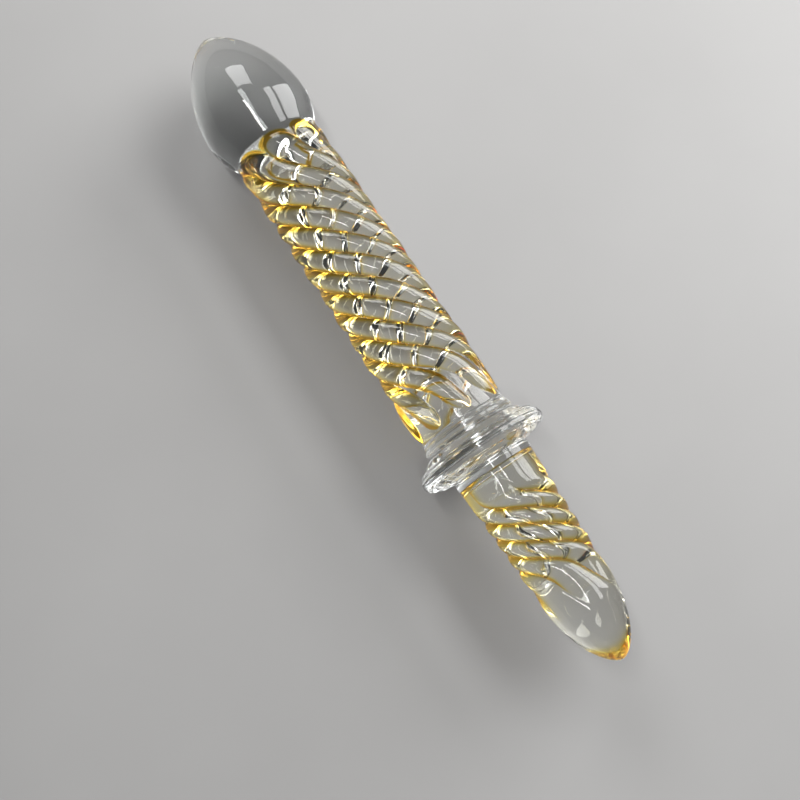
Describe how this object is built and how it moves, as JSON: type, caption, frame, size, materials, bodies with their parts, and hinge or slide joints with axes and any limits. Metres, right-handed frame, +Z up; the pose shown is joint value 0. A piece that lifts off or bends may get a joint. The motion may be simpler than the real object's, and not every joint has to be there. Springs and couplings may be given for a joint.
{
  "type": "glass massage wand",
  "caption": "Solid clear glass wand with an ogive head, left-hand twisted amber ribs on shaft and grip, a round flared guard and a tapered tip.",
  "frame": {"origin": "under the middle of the object's bounding box, at the level of the surface that it lies on", "axes": "+X runs from the head to the tip, +Z is up; the long axis leans 1.3 degrees up towards the tip, because the head and the wider guard both rest on the ground"},
  "size_m": [0.213, 0.0382, 0.0381],
  "materials": {
    "clear_glass": "fire-polished clear borosilicate glass",
    "amber_glass": "fire-polished clear glass with an amber skin"
  },
  "bodies": {
    "root": {"head": "clear_glass", "shaft_core": "clear_glass", "shaft_rib_1": "amber_glass", "shaft_rib_2": "amber_glass", "shaft_rib_3": "amber_glass", "shaft_rib_4": "amber_glass", "shaft_rib_5": "amber_glass", "shaft_rib_6": "amber_glass", "shaft_rib_7": "amber_glass", "shaft_rib_8": "amber_glass", "neck_collar": "clear_glass", "guard_flange": "clear_glass", "grip_collar": "clear_glass", "grip_core": "clear_glass", "grip_rib_1": "amber_glass", "grip_rib_2": "amber_glass", "grip_rib_3": "amber_glass", "grip_rib_4": "amber_glass", "grip_rib_5": "amber_glass", "grip_rib_6": "amber_glass", "grip_tip": "amber_glass"}
  },
  "joints": []
}
